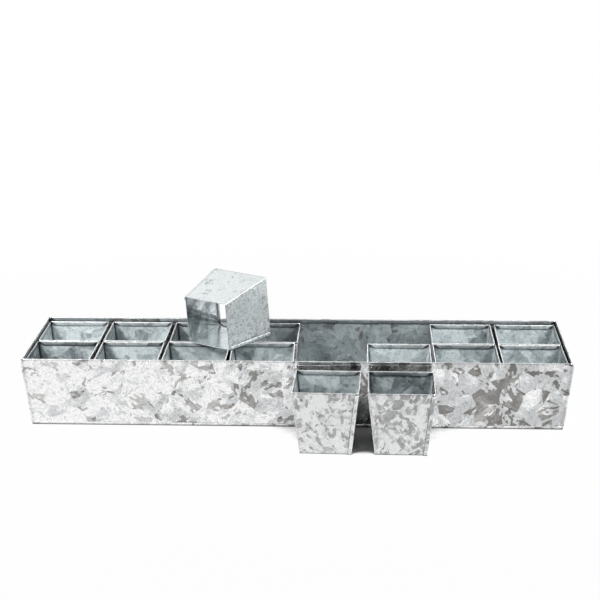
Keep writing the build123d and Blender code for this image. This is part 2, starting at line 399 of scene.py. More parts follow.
class BentSheet:
    """A bent sheet with its folded rim, as columns and rows of points.

    The tarnish runs from its first value at the sheet's first edge to its second value at the last
    edge. The bend shade is painted shade on the inside of the plain bends.
    """

    def __init__(self, bending, name, facings, start_kind, end_kind, tarnish_and_shade, bend_shade=0.0):
        self.bending = bending
        self.facings = facings
        self.hooked_start = start_kind == "hook"
        self.hooked_end = end_kind == "hook"
        self.tarnish_and_shade = tarnish_and_shade
        self.bend_shade = bend_shade
        self.columns = sheet_columns(bending, facings, start_kind, end_kind)
        self.rows = wall_rows(bending)
        self.hems = hem_rows(bending)
        self.stand_out = {tuple(f): unevenness(bending, f"{name} {tuple(f)}") for f in facings}
        middle = bending.height / 2
        self.run = [0.0]
        for a, b in zip(self.columns, self.columns[1:]):
            self.run.append(self.run[-1] + (b.at(bending, middle) - a.at(bending, middle)).length)
        self.points = []
        self.places = []
        self.marks = []
        self.index_of = {}

    def tarnish_and_shade_at(self, c):
        """Tarnish of a column, which on the lying pot is painted light and shade."""
        first, last = self.tarnish_and_shade
        return first + (last - first) * self.run[c] / self.run[-1]

    def seam_ends(self, column, z):
        """Distance along a wall from each of its seamed ends, and whether that end is hooked."""
        length = self.bending.wall_length(column.facing, z)
        ends = []
        if column.facing == self.facings[0]:
            ends.append((column.share * length, self.hooked_start))
        if column.facing == self.facings[-1]:
            ends.append(((1 - column.share) * length, self.hooked_end))
        return ends

    def seam_shade(self, column, z):
        """Painted shade on a wall along the edge of the seam that is folded over it."""
        bending = self.bending
        if bending.seam_foot_z <= z <= bending.seam_top_z:
            edge = bending.seam_width + SEAM_SHADE_OFFSET - bending.setback
            for distance, hooked in self.seam_ends(column, z):
                if hooked and abs(distance - edge) < SEAM_SHADE_REACH:
                    return SEAM_SHADE
        return 0.0

    def wall_shades(self, column, z):
        """Painted shade on the inside and on the outside, at a place on a wall or a corner."""
        bending = self.bending
        inside = self.bend_shade if column.kind == "bend" else 0.0
        outside = self.seam_shade(column, z) if column.kind == "flat" else 0.0
        if z <= bending.foot_z:
            outside = FOOT_SHADE
        if z >= bending.fold_z:
            outside = RIM_SHADE
        if column.kind == "flat":
            room = min(column.share, 1 - column.share) * bending.wall_length(column.facing, z)
            seam_room = min(distance for distance, hooked in self.seam_ends(column, z))
            if z > bending.height - bending.hem_depth:
                flange_end = bending.hem_thickness + bending.height - z
                inside = 1 - smooth((flange_end - room) / MITRE_REACH - 1)
            if room < CORNER_REACH:
                outside = max(outside, CORNER_SHADE)
            if seam_room < CORNER_REACH:
                inside = 1.0
            if z >= bending.seam_top_z and seam_room < SEAM_TOP_REACH:
                outside = SEAM_TOP_SHADE
        return inside, outside

    def add_point(self, c, place, up_sheet, wear_and_highlight, inside, outside):
        """Add a column's point, with its place up the flat sheet, its wear with painted highlight, its
        painted shades.
        """
        self.points.append(place)
        self.places.append((self.run[c] * MM, up_sheet * MM))
        self.marks.append((wear_and_highlight, inside, outside, self.tarnish_and_shade_at(c)))

    def add_wall_point(self, c, z):
        """Add a point of a wall or a corner."""
        bending = self.bending
        column = self.columns[c]
        place = column.at(bending, z)
        if column.kind == "flat":
            length = bending.wall_length(column.facing, z)
            out = self.stand_out[tuple(column.facing)](column.share * length, length, z)
            place = place + column.facing * out
        self.add_point(c, place, z * bending.slant, column.wear_and_highlight, *self.wall_shades(column, z))

    def add_hem_point(self, c, hem):
        """Add a point of the folded rim."""
        bending = self.bending
        column = self.columns[c]
        facing = column.facing
        up_wall = (facing * bending.slope + UP) / bending.slant
        into_wall = (UP * bending.slope - facing) / bending.slant
        length = bending.wall_length(facing, bending.height)
        half_run = length / 2 - hem.inset
        across = UP.cross(facing) * (half_run * (2 * column.share - 1))
        outer = bending.reach(facing, bending.fold_z)
        place = facing * (outer - bending.level_sheet / 2) + UP * bending.fold_z + across
        place = place + into_wall * hem.inward + up_wall * hem.rise
        out = self.stand_out[tuple(facing)](column.share * length, length, bending.fold_z)
        round_fold = pi * min(bending.fold_radius, hem.inward / 2)
        up_sheet = bending.fold_z * bending.slant + round_fold + max(0.0, -hem.rise)
        # Painted shade on the flange: darker down towards its lower edge, partly following the tarnish
        # mark, and beside its ends
        shade = hem.shade * (1 - FLANGE_TARNISH + FLANGE_TARNISH * self.tarnish_and_shade_at(c))
        if hem.wear_and_highlight < LEAST_BRIGHT_WEAR_AND_HIGHLIGHT:
            room = min(column.share, 1 - column.share) * 2 * half_run
            shade = max(shade, 1 - smooth((room - CORNER_REACH) / FLANGE_END_REACH))
        self.add_point(c, place + facing * out, up_sheet, hem.wear_and_highlight, shade, 0.0)

    def point(self, c, r):
        """Number of the point in a column and a row, which is added when it is first asked for."""
        if (c, r) not in self.index_of:
            self.index_of[(c, r)] = len(self.points)
            if r < len(self.rows):
                self.add_wall_point(c, self.rows[r])
            else:
                self.add_hem_point(c, self.hems[r - len(self.rows)])
        return self.index_of[(c, r)]

    def surface(self):
        """Quads between the columns: seams end below the rim, and only flat walls are folded over."""
        quads = []
        inner = []
        flange_row = len(self.rows) + FOLD_STEPS - 1
        for c in range(len(self.columns) - 1):
            kinds = {self.columns[c].kind, self.columns[c + 1].kind}
            low_row, high_row = 0, len(self.rows) - 1
            if "seam" in kinds:
                low_row = self.rows.index(self.bending.seam_foot_z)
                high_row = self.rows.index(self.bending.seam_top_z)
            if kinds == {"flat"}:
                high_row += len(self.hems)
            for r in range(low_row, high_row):
                around = ((c, r), (c + 1, r), (c + 1, r + 1), (c, r + 1))
                quads.append([self.point(*spot) for spot in around])
                inner.append(r >= flange_row)
        places = [[self.places[i] for i in quad] for quad in quads]
        return Surface(self.points, quads, places, inner, self.marks)


# Floor sheet of the trough, in millimetres
FLOOR_CELLS = (80, 20)
FLOOR_SAG = 0.12
SAG_WAVES = 4
SAG_LENGTHS = (60, 160)
SAG_EDGE_SHARE = 0.25
# Painted shade on the side of the floor sheet's edge that lies against the walls' feet
CHANNEL_INSIDE_SHADE = 0.3


@dataclass
class BaseRow:
    """One row of the floor sheet's edge: out from the wall's foot, height, wear with painted highlight,
    painted shade.
    """

    out: float
    z: float
    wear_and_highlight: float = 0.0
    shade: float = 0.0


def base_rows():
    """Rows of the floor sheet's edge: down inside the wall, under it and up outside it as a low band."""
    inside = -(TROUGH.sheet + SEAM_GAP + FLOOR_SHEET / 2) * TROUGH.slant
    outside = (SEAM_GAP + FLOOR_SHEET / 2) * TROUGH.slant
    floor_z = FLOOR_HEIGHT - FLOOR_SHEET / 2
    radius = (outside - inside) / 2
    rows = [BaseRow(inside + x, floor_z + z) for x, z in FLOOR_EDGE_STEPS]
    for i in range(FOLD_STEPS + 1):
        turn = pi + pi * i / FOLD_STEPS
        z = max(FLOOR_SHEET / 2, CHANNEL_Z + radius * sin(turn))
        rows.append(BaseRow(inside + radius + radius * cos(turn), z, shade=FOOT_SHADE if i else 0.0))
    rows += [BaseRow(outside, BAND_HEIGHT - down) for down in BAND_STEPS_DOWN]
    rows.append(BaseRow(outside, BAND_HEIGHT, wear_and_highlight=BAND_WEAR_AND_HIGHLIGHT))
    for row in rows:
        row.out += TROUGH.slope * row.z
    return rows


def base_surface():
    """Floor sheet of the trough, with an edge that lies round the feet of the walls."""
    rows = base_rows()
    count_x, count_y = FLOOR_CELLS
    run = [0.0]
    for a, b in zip(rows, rows[1:]):
        run.append(run[-1] + hypot(b.out - a.out, b.z - a.z))
    draw = Random("floor")
    waves = []
    for _ in range(SAG_WAVES):
        length_x = draw.uniform(*SAG_LENGTHS)
        length_y = draw.uniform(*SAG_LENGTHS)
        waves.append((length_x, length_y, draw.uniform(0, 2 * pi)))

    def spread(i, j):
        """Place of a grid point across the floor, from -1 to 1 both ways."""
        return 2 * i / count_x - 1, 2 * j / count_y - 1

    def sag(x, y):
        """How far the floor hangs at a place on it, none at its edges."""
        fade = smooth(min(1 - abs(x), 1 - abs(y)) / SAG_EDGE_SHARE)
        half_x, half_y = TROUGH.half
        wave = sum(sin(2 * pi * (x * half_x / a + y * half_y / b) + start) for a, b, start in waves)
        return FLOOR_SAG * fade * (1 + wave / SAG_WAVES)

    def grid(i, j):
        """Number of a grid point."""
        return j * (count_x + 1) + i

    points, quads, places, marks = [], [], [], []
    half_x, half_y = (half + rows[0].out for half in TROUGH.half)
    for j in range(count_y + 1):
        for i in range(count_x + 1):
            x, y = spread(i, j)
            points.append(Vector((x * half_x, y * half_y, rows[0].z - sag(x, y))))
            marks.append((0.0, 0.0, 0.0, (x + 1) / 2))
    for j in range(count_y):
        for i in range(count_x):
            quad = (grid(i, j), grid(i + 1, j), grid(i + 1, j + 1), grid(i, j + 1))
            quads.append(quad)
            places.append([(points[k].x * MM, points[k].y * MM) for k in quad])

    edge_spots = [(i, 0) for i in range(count_x)]
    edge_spots += [(count_x, j) for j in range(count_y)]
    edge_spots += [(i, count_y) for i in range(count_x, 0, -1)]
    edge_spots += [(0, j) for j in range(count_y, 0, -1)]
    rings = [[grid(i, j) for i, j in edge_spots]]
    for row in rows[1:]:
        ring = []
        for i, j in edge_spots:
            x, y = spread(i, j)
            ring.append(len(points))
            points.append(Vector((x * (TROUGH.half[0] + row.out), y * (TROUGH.half[1] + row.out), row.z)))
            # Painted shade: the edge rows are darkened on that side, and under the fold on the other side
            marks.append((row.wear_and_highlight, CHANNEL_INSIDE_SHADE, row.shade, (x + 1) / 2))
        rings.append(ring)
    for r, (ring, next_ring) in enumerate(zip(rings, rings[1:])):
        for c in range(len(ring)):
            d = (c + 1) % len(ring)
            quads.append((ring[c], next_ring[c], next_ring[d], ring[d]))
            along = "x" if edge_spots[c][1] == edge_spots[d][1] else "y"
            places.append([
                (getattr(points[k], along) * MM, run[s] * MM)
                for k, s in zip(quads[-1], (r, r + 1, r + 1, r))
            ])
    return Surface(points, quads, places, [False] * len(quads), marks)


# Finish of the steel: the size of each pattern against a crystal or a facet
CRYSTAL_NOISE = 0.8
CRYSTAL_WARP = 0.25
FACET_NOISE = 1.8
FACET_WARP = 0.45
FACET_NARROWING = 0.55
SPECK_SCALE = 0.9
MOTTLE_SCALE = 1.6
TONE_SCALE = 0.16
STREAK_SCALE = 1.1
STREAK_SLANT = -0.45
STREAK_STRETCH = (2.2, 0.5)
CRYSTAL_SPACING = 37.0
TONE_OFFSET = (31.0, 17.0, 0.0)
SHEET_SPACING = 4.0

# How much the patches, the tone and the gloss differ from crystal to crystal and from facet to facet
PATCH_BY_CRYSTAL = 0.16
PATCH_BY_FACET = 0.14
TONE_BY_CRYSTAL = 0.24
TONE_BY_FACET = 0.16
GLOSS_BY_FACET = 0.18
GLOSS_BY_STREAK = 0.14

# Colours and strengths of the marks: painted shade, and wear with painted highlight; the gaps' reach is in
# metres
PAINTED_SHADE_BLACK = (0.03, 0.03, 0.033)
PAINTED_SHADE_STRENGTH = 0.85
PAINTED_GAP_SHADE_BLACK = (0.02, 0.02, 0.022)
PAINTED_GAP_SHADE_STRENGTH = 0.92
GAP_REACH = 0.014
GAP_LIMITS = (0.10, 0.50)
GAP_SAMPLES = 6
WEAR_AND_HIGHLIGHT_WHITE = (0.96, 0.965, 0.965)
WEAR_AND_HIGHLIGHT_STRENGTH = 0.9
WEAR_AND_HIGHLIGHT_METALLIC = 0.3
WEAR_AND_HIGHLIGHT_POLISH = 0.5
SPECK_GREY = (0.62, 0.61, 0.59)
SPECK_RARITY = 0.90
STREAK_GREY = (0.50, 0.50, 0.49)
STREAK_LIMITS = (0.50, 0.62)
MOTTLE_GREY = (0.70, 0.70, 0.70)
MOTTLE_LIMITS = (0.32, 0.62)
PLAIN_WHITE = (1.0, 1.0, 1.0)
MIDDLE_GREY = (0.5, 0.5, 0.5)
FACET_TILT = 0.06
ROUGH_RELIEF = 0.03
RELIEF_STRENGTH = 0.2


class Graph:
    """Small helper that adds nodes to a material or a world and links them."""

    def __init__(self, owner):
        owner.use_nodes = True
        self.owner = owner
        self.nodes = owner.node_tree.nodes
        self.links = owner.node_tree.links

    def add(self, kind, inputs=None, **settings):
        node = self.nodes.new(kind)
        for key, value in settings.items():
            setattr(node, key, value)
        for key, value in (inputs or {}).items():
            self.set(node.inputs[key], value)
        return node

    def set(self, socket, value):
        if isinstance(value, bpy.types.NodeSocket):
            self.links.new(value, socket)
        else:
            socket.default_value = value

    def math(self, operation, a, b=0.0, c=0.0):
        return self.add("ShaderNodeMath", {0: a, 1: b, 2: c}, operation=operation).outputs[0]

    def vector(self, operation, a, b):
        return self.add("ShaderNodeVectorMath", {0: a, 1: b}, operation=operation).outputs[0]

    def scaled(self, a, factor):
        return self.add("ShaderNodeVectorMath", {0: a, "Scale": factor}, operation="SCALE").outputs[0]

    def vary(self, value, by, amount):
        """A value moved up or down by up to half of an amount."""
        return self.math("MULTIPLY_ADD", by, amount, self.math("ADD", value, -amount / 2))

    def rescale(self, value, limits, low=0.0, high=1.0, curve="LINEAR"):
        """A value between two limits, moved to between a low and a high value."""
        node = self.add(
            "ShaderNodeMapRange",
            {"Value": value, "From Min": limits[0], "From Max": limits[1], "To Min": low, "To Max": high},
            interpolation_type=curve,
        )
        return node.outputs[0]

    def noise(self, place, scale, detail=2.0, output="Fac", roughness=0.5):
        node = self.add(
            "ShaderNodeTexNoise",
            {"Vector": place, "Scale": scale, "Detail": detail, "Roughness": roughness},
            noise_dimensions="2D",
        )
        return node.outputs[output]

    def cells(self, place, scale):
        """Outputs of a pattern of cells, and the three random numbers of each cell."""
        node = self.add("ShaderNodeTexVoronoi", {"Vector": place, "Scale": scale}, voronoi_dimensions="2D")
        return node.outputs, self.add("ShaderNodeSeparateColor", {0: node.outputs["Color"]}).outputs

    def ramp(self, value, stops):
        node = self.add("ShaderNodeValToRGB", {0: value})
        elements = node.color_ramp.elements
        while len(elements) < len(stops):
            elements.new(1.0)
        for element, (position, colour) in zip(elements, stops):
            element.position = position
            element.color = (*colour, 1.0)
        return node.outputs[0]

    def mix(self, factor, a, b, blend="MIX"):
        node = self.add("ShaderNodeMix", data_type="RGBA", blend_type=blend)
        self.set(node.inputs[0], factor)
        for socket, value in ((node.inputs[6], a), (node.inputs[7], b)):
            self.set(socket, value if isinstance(value, bpy.types.NodeSocket) else (*value, 1.0))
        return node.outputs[2]

    def attribute(self, name):
        return self.add("ShaderNodeAttribute", attribute_name=name).outputs["Fac"]

    def openness(self, reach, samples):
        """Share of the space round a place that is free, within a reach in metres."""
        return self.add("ShaderNodeAmbientOcclusion", {"Distance": reach}, samples=samples).outputs["AO"]


def galvanised(
    name, grain, facet, ground, patches, patch_edge, streaks, roughness, metallic, contrast=1.0,
    painted_shade=None, weather=0.0, greying=0.0, shine=0.5, patch_scale=0.20, patch_soft=0.03, specks=0.7,
    mottling=0.18,
):
    """Zinc-coated sheet: feathery crystals with their own tone and gloss, edges bright from wear and
    painted highlight, painted shade in creases.

    Grain and facet are the size of a crystal and of its facets, in metres. Ground and patches each have
    a range of shades. Where the tarnish mark is high, weather spreads the patches and greying moves both
    towards the dark end of their range; where it is below zero, both go the other way. On the lying pot
    that mark is painted light and shade.
    """
    g = Graph(bpy.data.materials.new(name))
    shader = g.nodes["Principled BSDF"].inputs
    flat = g.add("ShaderNodeUVMap", uv_map="flat_sheet").outputs[0]
    slow = g.vector("SUBTRACT", g.noise(flat, CRYSTAL_NOISE / grain, output="Color"), MIDDLE_GREY)
    fast = g.vector("SUBTRACT", g.noise(flat, FACET_NOISE / facet, output="Color"), MIDDLE_GREY)
    warped = g.vector("ADD", flat, g.scaled(slow, grain * CRYSTAL_WARP))
    warped = g.vector("ADD", warped, g.scaled(fast, facet * FACET_WARP))
    crystal, own = g.cells(warped, 1 / grain)

    # Facets that lie along each crystal's own direction
    inside = g.vector("SUBTRACT", warped, crystal["Position"])
    turned = g.add("ShaderNodeVectorRotate", {"Vector": inside}, rotation_type="Z_AXIS")
    g.set(turned.inputs["Angle"], g.math("MULTIPLY", own[0], 2 * pi))
    own_start = g.scaled(crystal["Color"], CRYSTAL_SPACING)
    narrow = g.vector("MULTIPLY", turned.outputs[0], (FACET_NARROWING / facet, 1 / facet, 0.0))
    facets, shade = g.cells(g.vector("ADD", narrow, own_start), 1.0)
    spot = facets["Position"]

    # Ground and patches, with a shade for each facet
    tarnish_and_shade = g.attribute("tarnish_and_shade")
    level = g.noise(spot, patch_scale, 3.0, roughness=0.6)
    level = g.vary(g.vary(level, shade[0], PATCH_BY_FACET), own[1], PATCH_BY_CRYSTAL)
    level = g.math("MULTIPLY_ADD", tarnish_and_shade, weather, level)
    patch = g.rescale(level, (patch_edge, patch_edge + patch_soft))
    tone = g.noise(g.vector("ADD", spot, TONE_OFFSET), TONE_SCALE)
    tone = g.vary(g.vary(tone, own[2], TONE_BY_CRYSTAL), shade[2], TONE_BY_FACET)
    tone = g.math("MULTIPLY_ADD", tone, contrast, 0.5 - 0.5 * contrast)
    tone = g.math("MULTIPLY_ADD", tarnish_and_shade, greying, tone)
    colour = g.mix(patch, g.ramp(tone, ground), g.ramp(tone, patches))

    # Specks, feathery lines on both sides of each crystal's spine, and a fine mottle
    dot = g.cells(warped, SPECK_SCALE / facet)[1]
    dotted = g.math("MULTIPLY", g.math("GREATER_THAN", dot[0], SPECK_RARITY), dot[1])
    colour = g.mix(g.math("MULTIPLY", dotted, specks), colour, SPECK_GREY, "MULTIPLY")
    split = g.add("ShaderNodeSeparateXYZ", {0: narrow}).outputs
    aside = g.math("ABSOLUTE", split[1])
    forward = g.math("MULTIPLY_ADD", aside, STREAK_SLANT, split[0])
    along = g.math("MULTIPLY", forward, STREAK_STRETCH[0])
    across = g.math("MULTIPLY", aside, STREAK_STRETCH[1])
    feather = g.add("ShaderNodeCombineXYZ", {0: along, 1: across}).outputs[0]
    streak = g.noise(g.vector("ADD", feather, own_start), STREAK_SCALE, roughness=0.6)
    colour = g.mix(g.rescale(streak, STREAK_LIMITS, 0.0, streaks), colour, STREAK_GREY, "MULTIPLY")
    fine = g.noise(flat, MOTTLE_SCALE / facet, 3.0, roughness=0.65)
    mottle = g.ramp(fine, list(zip(MOTTLE_LIMITS, (MOTTLE_GREY, PLAIN_WHITE))))
    colour = g.mix(mottling, colour, mottle, "MULTIPLY")

    # Painted shade in the creases, wear and painted highlight on the edges, and painted shade in narrow
    # gaps
    wear_and_highlight = g.attribute("wear_and_highlight")
    # Painted shade: the marked creases are painted towards black, and their wear and highlight is taken
    # away
    if painted_shade:
        shaded = g.attribute(painted_shade)
        wear_and_highlight = g.math("MULTIPLY", wear_and_highlight, g.math("SUBTRACT", 1.0, shaded))
        colour = g.mix(g.math("MULTIPLY", shaded, PAINTED_SHADE_STRENGTH), colour, PAINTED_SHADE_BLACK)
    # Wear and painted highlight: marked edges are painted towards near white, and made less metallic and
    # glossier
    colour = g.mix(g.math("MULTIPLY", wear_and_highlight, WEAR_AND_HIGHLIGHT_STRENGTH), colour, WEAR_AND_HIGHLIGHT_WHITE)
    # Painted shade: the colour goes towards black where little space round a place is free, as in narrow
    # gaps
    gap_shade = g.rescale(g.openness(GAP_REACH, GAP_SAMPLES), GAP_LIMITS, PAINTED_GAP_SHADE_STRENGTH, 0.0)
    g.set(shader["Base Color"], g.mix(gap_shade, colour, PAINTED_GAP_SHADE_BLACK))
    g.set(shader["Metallic"], g.math("MULTIPLY_ADD", wear_and_highlight, WEAR_AND_HIGHLIGHT_METALLIC - metallic, metallic))
    shader["Specular IOR Level"].default_value = shine

    # Gloss and tilt of each facet
    gloss = g.vary(g.vary(roughness, shade[1], GLOSS_BY_FACET), streak, GLOSS_BY_STREAK)
    polish = g.rescale(wear_and_highlight, (0.0, 1.0), 1.0, WEAR_AND_HIGHLIGHT_POLISH)
    g.set(shader["Roughness"], g.math("MULTIPLY", gloss, polish))
    within = g.vector("SUBTRACT", narrow, g.vector("SUBTRACT", spot, own_start))
    own_tilt = g.vector("SUBTRACT", facets["Color"], MIDDLE_GREY)
    tilt = g.add("ShaderNodeVectorMath", {0: within, 1: own_tilt}, operation="DOT_PRODUCT").outputs["Value"]
    rough = g.math("MULTIPLY", fine, facet * ROUGH_RELIEF)
    relief = g.math("MULTIPLY_ADD", tilt, facet * FACET_TILT, rough)
    bump = g.add("ShaderNodeBump", {"Height": relief, "Strength": RELIEF_STRENGTH, "Distance": 1.0})
    g.set(shader["Normal"], bump.outputs[0])
    return g.owner


# Colours of the zinc on the trough and on the pots, and darker, bluer ones inside both for painted shade
WHITE = (0.975, 0.977, 0.978)
COOL_PALE = (0.73, 0.745, 0.755)
COOL_GREY = (0.60, 0.615, 0.625)
PATCH_PALE = (0.66, 0.655, 0.645)
PATCH_LIGHT = (0.55, 0.545, 0.532)
PATCH_GREY = (0.42, 0.413, 0.40)
PATCH_DARK = (0.30, 0.294, 0.283)
PATCH_DARKEST = (0.22, 0.215, 0.206)
POT_WHITE = (0.94, 0.953, 0.956)
POT_PALE = (0.72, 0.732, 0.737)
POT_LIGHT = (0.64, 0.648, 0.65)
POT_GREY = (0.48, 0.484, 0.484)
POT_DARK = (0.36, 0.363, 0.362)
# Painted shade: the lying pot's outside is darker and cooler than the other pots'
SHADED_SMOOTH_WHITE = (0.785, 0.83, 0.834)
SHADED_SMOOTH_PALE = (0.66, 0.69, 0.695)
# Inside colours, darker and bluer than the outside: painted shade with a bluish cast
SHADED_INNER_PALE = (0.74, 0.80, 0.815)
SHADED_INNER_LIGHT = (0.62, 0.68, 0.695)
SHADED_INNER_GREY = (0.47, 0.525, 0.54)
SHADED_INNER_DARK = (0.20, 0.232, 0.245)
SPOT_GREY = (0.30, 0.30, 0.305)
SPOT_DARK = (0.15, 0.15, 0.152)


def pot_skin(name, brightest, pale, streaks, patch_edge, patch_soft, specks, mottling):
    """Outside of a pot, which differs a little from pot to pot."""
    return galvanised(
        name, grain=0.018, facet=0.0025,
        ground=[(0.30, brightest), (0.58, brightest), (0.85, pale)],
        patches=[(0.35, POT_LIGHT), (0.55, POT_GREY), (0.80, POT_DARK)],
        patch_edge=patch_edge, streaks=streaks, roughness=0.32, metallic=0.70, painted_shade="painted_shade_out",
        weather=0.10, greying=0.08, patch_scale=0.28, patch_soft=patch_soft, specks=specks,
        mottling=mottling,
    )


def pot_lining(name, roughness, metallic):
    """Inside of a pot, in darker and bluer colours than the outside: painted shade with a bluish cast."""
    return galvanised(
        name, grain=0.024, facet=0.0036,
        ground=[(0.35, SHADED_INNER_PALE), (0.55, SHADED_INNER_PALE), (0.72, SHADED_INNER_GREY), (0.95, SHADED_INNER_DARK)],
        patches=[(0.35, SHADED_INNER_LIGHT), (0.55, SHADED_INNER_LIGHT), (0.70, SHADED_INNER_GREY), (0.92, SHADED_INNER_DARK)],
        patch_edge=0.60, streaks=0.30, roughness=roughness, metallic=metallic, contrast=0.8,
        painted_shade="painted_shade_in", greying=0.28, shine=0.2,
    )


trough_outside = galvanised(
    "trough_outside", grain=0.030, facet=0.0032,
    ground=[(0.30, WHITE), (0.56, WHITE), (0.72, COOL_PALE), (0.92, COOL_GREY)],
    patches=[
        (0.30, PATCH_PALE), (0.48, PATCH_LIGHT), (0.60, PATCH_GREY), (0.74, PATCH_DARK),
        (0.90, PATCH_DARKEST),
    ],
    patch_edge=0.635, streaks=0.40, roughness=0.19, metallic=0.98, painted_shade="painted_shade_out", weather=0.10,
    greying=0.28, patch_scale=0.115,
)
# Inside of the trough, in darker and bluer colours than the outside: painted shade with a bluish cast
trough_inside = galvanised(
    "trough_inside", grain=0.028, facet=0.0040,
    ground=[(0.25, SHADED_INNER_LIGHT), (0.45, SHADED_INNER_GREY), (0.75, SHADED_INNER_DARK)],
    patches=[(0.30, SPOT_GREY), (0.65, SPOT_DARK)],
    patch_edge=0.64, streaks=0.35, roughness=0.36, metallic=0.70, contrast=0.6, painted_shade="painted_shade_in",
    shine=0.2, patch_scale=0.15,
)
cut_edge = galvanised(
    "cut_edge", grain=0.010, facet=0.0015, ground=[(0.3, WHITE), (0.7, COOL_PALE)],
    patches=[(0.3, COOL_PALE), (0.7, COOL_GREY)], patch_edge=0.6, streaks=0.3, roughness=0.38,
    metallic=0.6,
)
pot_outside = pot_skin(
    "pot_outside", POT_WHITE, POT_PALE,
    streaks=0.28, patch_edge=0.60, patch_soft=0.06, specks=0.30, mottling=0.18,
)
# Outside of the lying pot: a smoother pattern, in darker colours for painted shade
shaded_smooth_outside = pot_skin(
    "smooth_pot_outside", SHADED_SMOOTH_WHITE, SHADED_SMOOTH_PALE,
    streaks=0.10, patch_edge=0.57, patch_soft=0.12, specks=0.10, mottling=0.08,
)
pot_inside = pot_lining("pot_inside", roughness=0.36, metallic=0.45)
smooth_inside = pot_lining("smooth_pot_inside", roughness=0.18, metallic=0.85)
pot_materials = [pot_outside, pot_inside, cut_edge]
lying_pot_materials = [shaded_smooth_outside, smooth_inside, cut_edge]
trough_materials = [trough_outside, trough_inside, cut_edge]
base_materials = [trough_inside, trough_outside, cut_edge]


def add_sheet(node, body, thickness, surface, place, materials):
    """A sheet of steel from its middle surface, in the place of a node."""
    mesh = bpy.data.meshes.new(f"{node}_metal")
    mesh.from_pydata([place @ (p * MM) for p in surface.points], [], surface.quads)
    draw = Random(node)
    shift = (draw.uniform(0, SHEET_SPACING), draw.uniform(0, SHEET_SPACING))
    layer = mesh.uv_layers.new(name="flat_sheet")
    for polygon, corners, is_inner in zip(mesh.polygons, surface.places, surface.inner):
        polygon.use_smooth = True
        polygon.material_index = 1 if is_inner else 0
        for loop, (u, v) in zip(polygon.loop_indices, corners):
            layer.data[loop].uv = (u + shift[0], v + shift[1])
    for position, name in enumerate(("wear_and_highlight", "painted_shade_in", "painted_shade_out", "tarnish_and_shade")):
        attribute = mesh.attributes.new(name, "FLOAT", "POINT")
        attribute.data.foreach_set("value", [mark[position] for mark in surface.marks])
    for material in materials:
        mesh.materials.append(material)
    piece = bpy.data.objects.new(f"{node}_metal", mesh)
    bpy.context.scene.collection.objects.link(piece)
    thicken = piece.modifiers.new("sheet", "SOLIDIFY")
    thicken.thickness = thickness * MM
    thicken.offset = 0
    thicken.use_even_offset = True
    thicken.material_offset = 1
    thicken.material_offset_rim = 2
    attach(piece, body)
    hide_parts(node)


# Places of the pots: row, column, slide as a share of the gap, and turn as a share of the largest turn
TURN_CLEARANCE_SHARE = 0.7
LARGEST_TURN = TURN_CLEARANCE_SHARE * RIM_CLEARANCE / (POT_RIM_WIDTH / 2)
POTS_IN_TROUGH = [
    ("back", 1, -0.10, 0.30), ("back", 2, 0.00, -0.20), ("back", 3, 0.20, 0.20),
    ("back", 4, 0.40, -0.30), ("back", 7, 0.00, 0.20), ("back", 8, 0.00, -0.25),
    ("front", 1, -0.15, -0.30), ("front", 2, 0.00, 0.35), ("front", 3, 0.00, -0.20),
    ("front", 4, -0.15, 1.00), ("front", 6, 0.35, -0.30), ("front", 7, 0.20, 0.25),
    ("front", 8, -0.10, 0.30),
]
STANDING_LEFT_X = 45.0
STANDING_GAP = 10.0
STANDING_LEFT_DISTANCE = 7.0
STANDING_RIGHT_DISTANCE = 8.4
STANDING_LEFT_TURN = radians(-1.7)
STANDING_RIGHT_TURN = radians(-0.4)
LYING_FOOT_X = -31.2
LYING_FOOT_Y = -20.0
LYING_TURN = radians(30.3)
LYING_CLEARANCE = 0.3


def upright(x, y, z, turn):
    """Place of a standing pot, turned about its upright axis."""
    return Matrix.Translation(Vector((x, y, z)) * MM) @ Matrix.Rotation(turn, 4, "Z")


def lying_place():
    """Place of the pot that lies on the rims of others, with one wall flat on them."""
    way = Vector((sin(LYING_TURN), cos(LYING_TURN), 0))
    axis = (way + UP * POT.slope) / POT.slant
    down = (way * POT.slope - UP) / POT.slant
    rims_z = FLOOR_HEIGHT + POT.height + LYING_CLEARANCE
    foot_edge = Vector((LYING_FOOT_X - COLUMN_PITCH, LYING_FOOT_Y, rims_z))
    origin = (foot_edge - down * POT.half[0]) * MM
    return Matrix.Translation(origin) @ Matrix((down, axis.cross(down), axis)).transposed().to_4x4()


pot_places = {}
for row, column, slide, turn in POTS_IN_TROUGH:
    pot_places[f"{row}_{column}"] = upright(
        (column - (COLUMNS + 1) / 2) * COLUMN_PITCH + slide * POT_GAP,
        ROW_Y if row == "back" else -ROW_Y,
        FLOOR_HEIGHT,
        turn * LARGEST_TURN,
    )
against_trough_y = -(TROUGH.half[1] + TROUGH.lean + POT_RIM_WIDTH / 2)
pot_places["standing_left"] = upright(
    STANDING_LEFT_X, against_trough_y - STANDING_LEFT_DISTANCE, 0, STANDING_LEFT_TURN
)
pot_places["standing_right"] = upright(
    STANDING_LEFT_X + POT_RIM_WIDTH + STANDING_GAP, against_trough_y - STANDING_RIGHT_DISTANCE, 0,
    STANDING_RIGHT_TURN,
)
pot_places["lying"] = lying_place()

